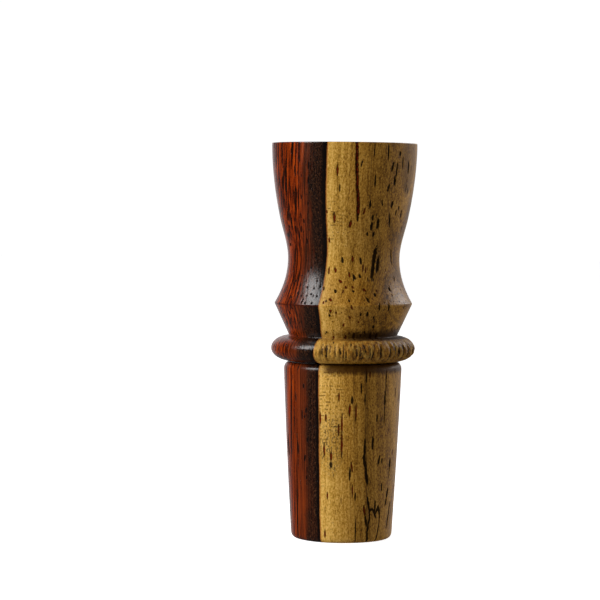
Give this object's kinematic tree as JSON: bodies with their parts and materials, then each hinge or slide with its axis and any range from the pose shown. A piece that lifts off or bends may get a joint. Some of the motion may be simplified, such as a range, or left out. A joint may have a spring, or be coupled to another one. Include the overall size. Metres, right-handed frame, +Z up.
{
  "type": "duck call",
  "caption": "Turned rosewood duck call: a flared barrel with a V ridge, lanyard neck and bead pulls off a tapered insert to show a reeded toneboard.",
  "frame": {"origin": "centre of the insert's exhaust end, which the call stands on", "axes": "+Z up the bore towards the mouthpiece; -Y is the side the reeds face and the side seen in the reference view; +X to the right there"},
  "size_m": [0.038, 0.038, 0.1034],
  "materials": {
    "barrel_wood": "satin",
    "insert_wood": "satin",
    "toneboard": "satin",
    "oring": "matte",
    "long_reed": "satin",
    "short_reed": "satin",
    "cork": "matte"
  },
  "bodies": {
    "insert": {"insert": "insert_wood"},
    "toneboard": {"toneboard": "toneboard", "rear_oring_1": "oring", "rear_oring_2": "oring", "wedge_cork": "cork"},
    "seal_rings": {"front_oring_1": "oring", "front_oring_2": "oring"},
    "barrel": {"barrel": "barrel_wood"},
    "long_reed": {"long_reed": "long_reed"},
    "short_reed": {"short_reed": "short_reed"}
  },
  "joints": [
    {"name": "toneboard_pull", "type": "slide", "parent": "insert", "child": "toneboard", "axis": [0, 0, 1], "range_m": [0, 0.024]},
    {"name": "barrel_turn", "type": "hinge", "parent": "toneboard", "child": "seal_rings", "pos_m": [0, 0, 0.0514], "axis": [0, 0, 1], "continuous": true},
    {"name": "barrel_pull", "type": "slide", "parent": "seal_rings", "child": "barrel", "axis": [0, 0, 1], "range_m": [0, 0.052]},
    {"name": "long_reed_flex", "type": "hinge", "parent": "toneboard", "child": "long_reed", "pos_m": [0, -0.00118, 0.0642], "axis": [-1, 0, 0], "range_deg": [-1, 2.4], "stiffness_Nm_per_rad": 0.007},
    {"name": "short_reed_flex", "type": "hinge", "parent": "toneboard", "child": "short_reed", "pos_m": [0, -0.00118, 0.0642], "axis": [-1, 0, 0], "range_deg": [-1, 2.4], "stiffness_Nm_per_rad": 0.003}
  ],
  "couplings": [
    {"joint": "short_reed_flex", "follows": "long_reed_flex", "ratio": 1}
  ]
}
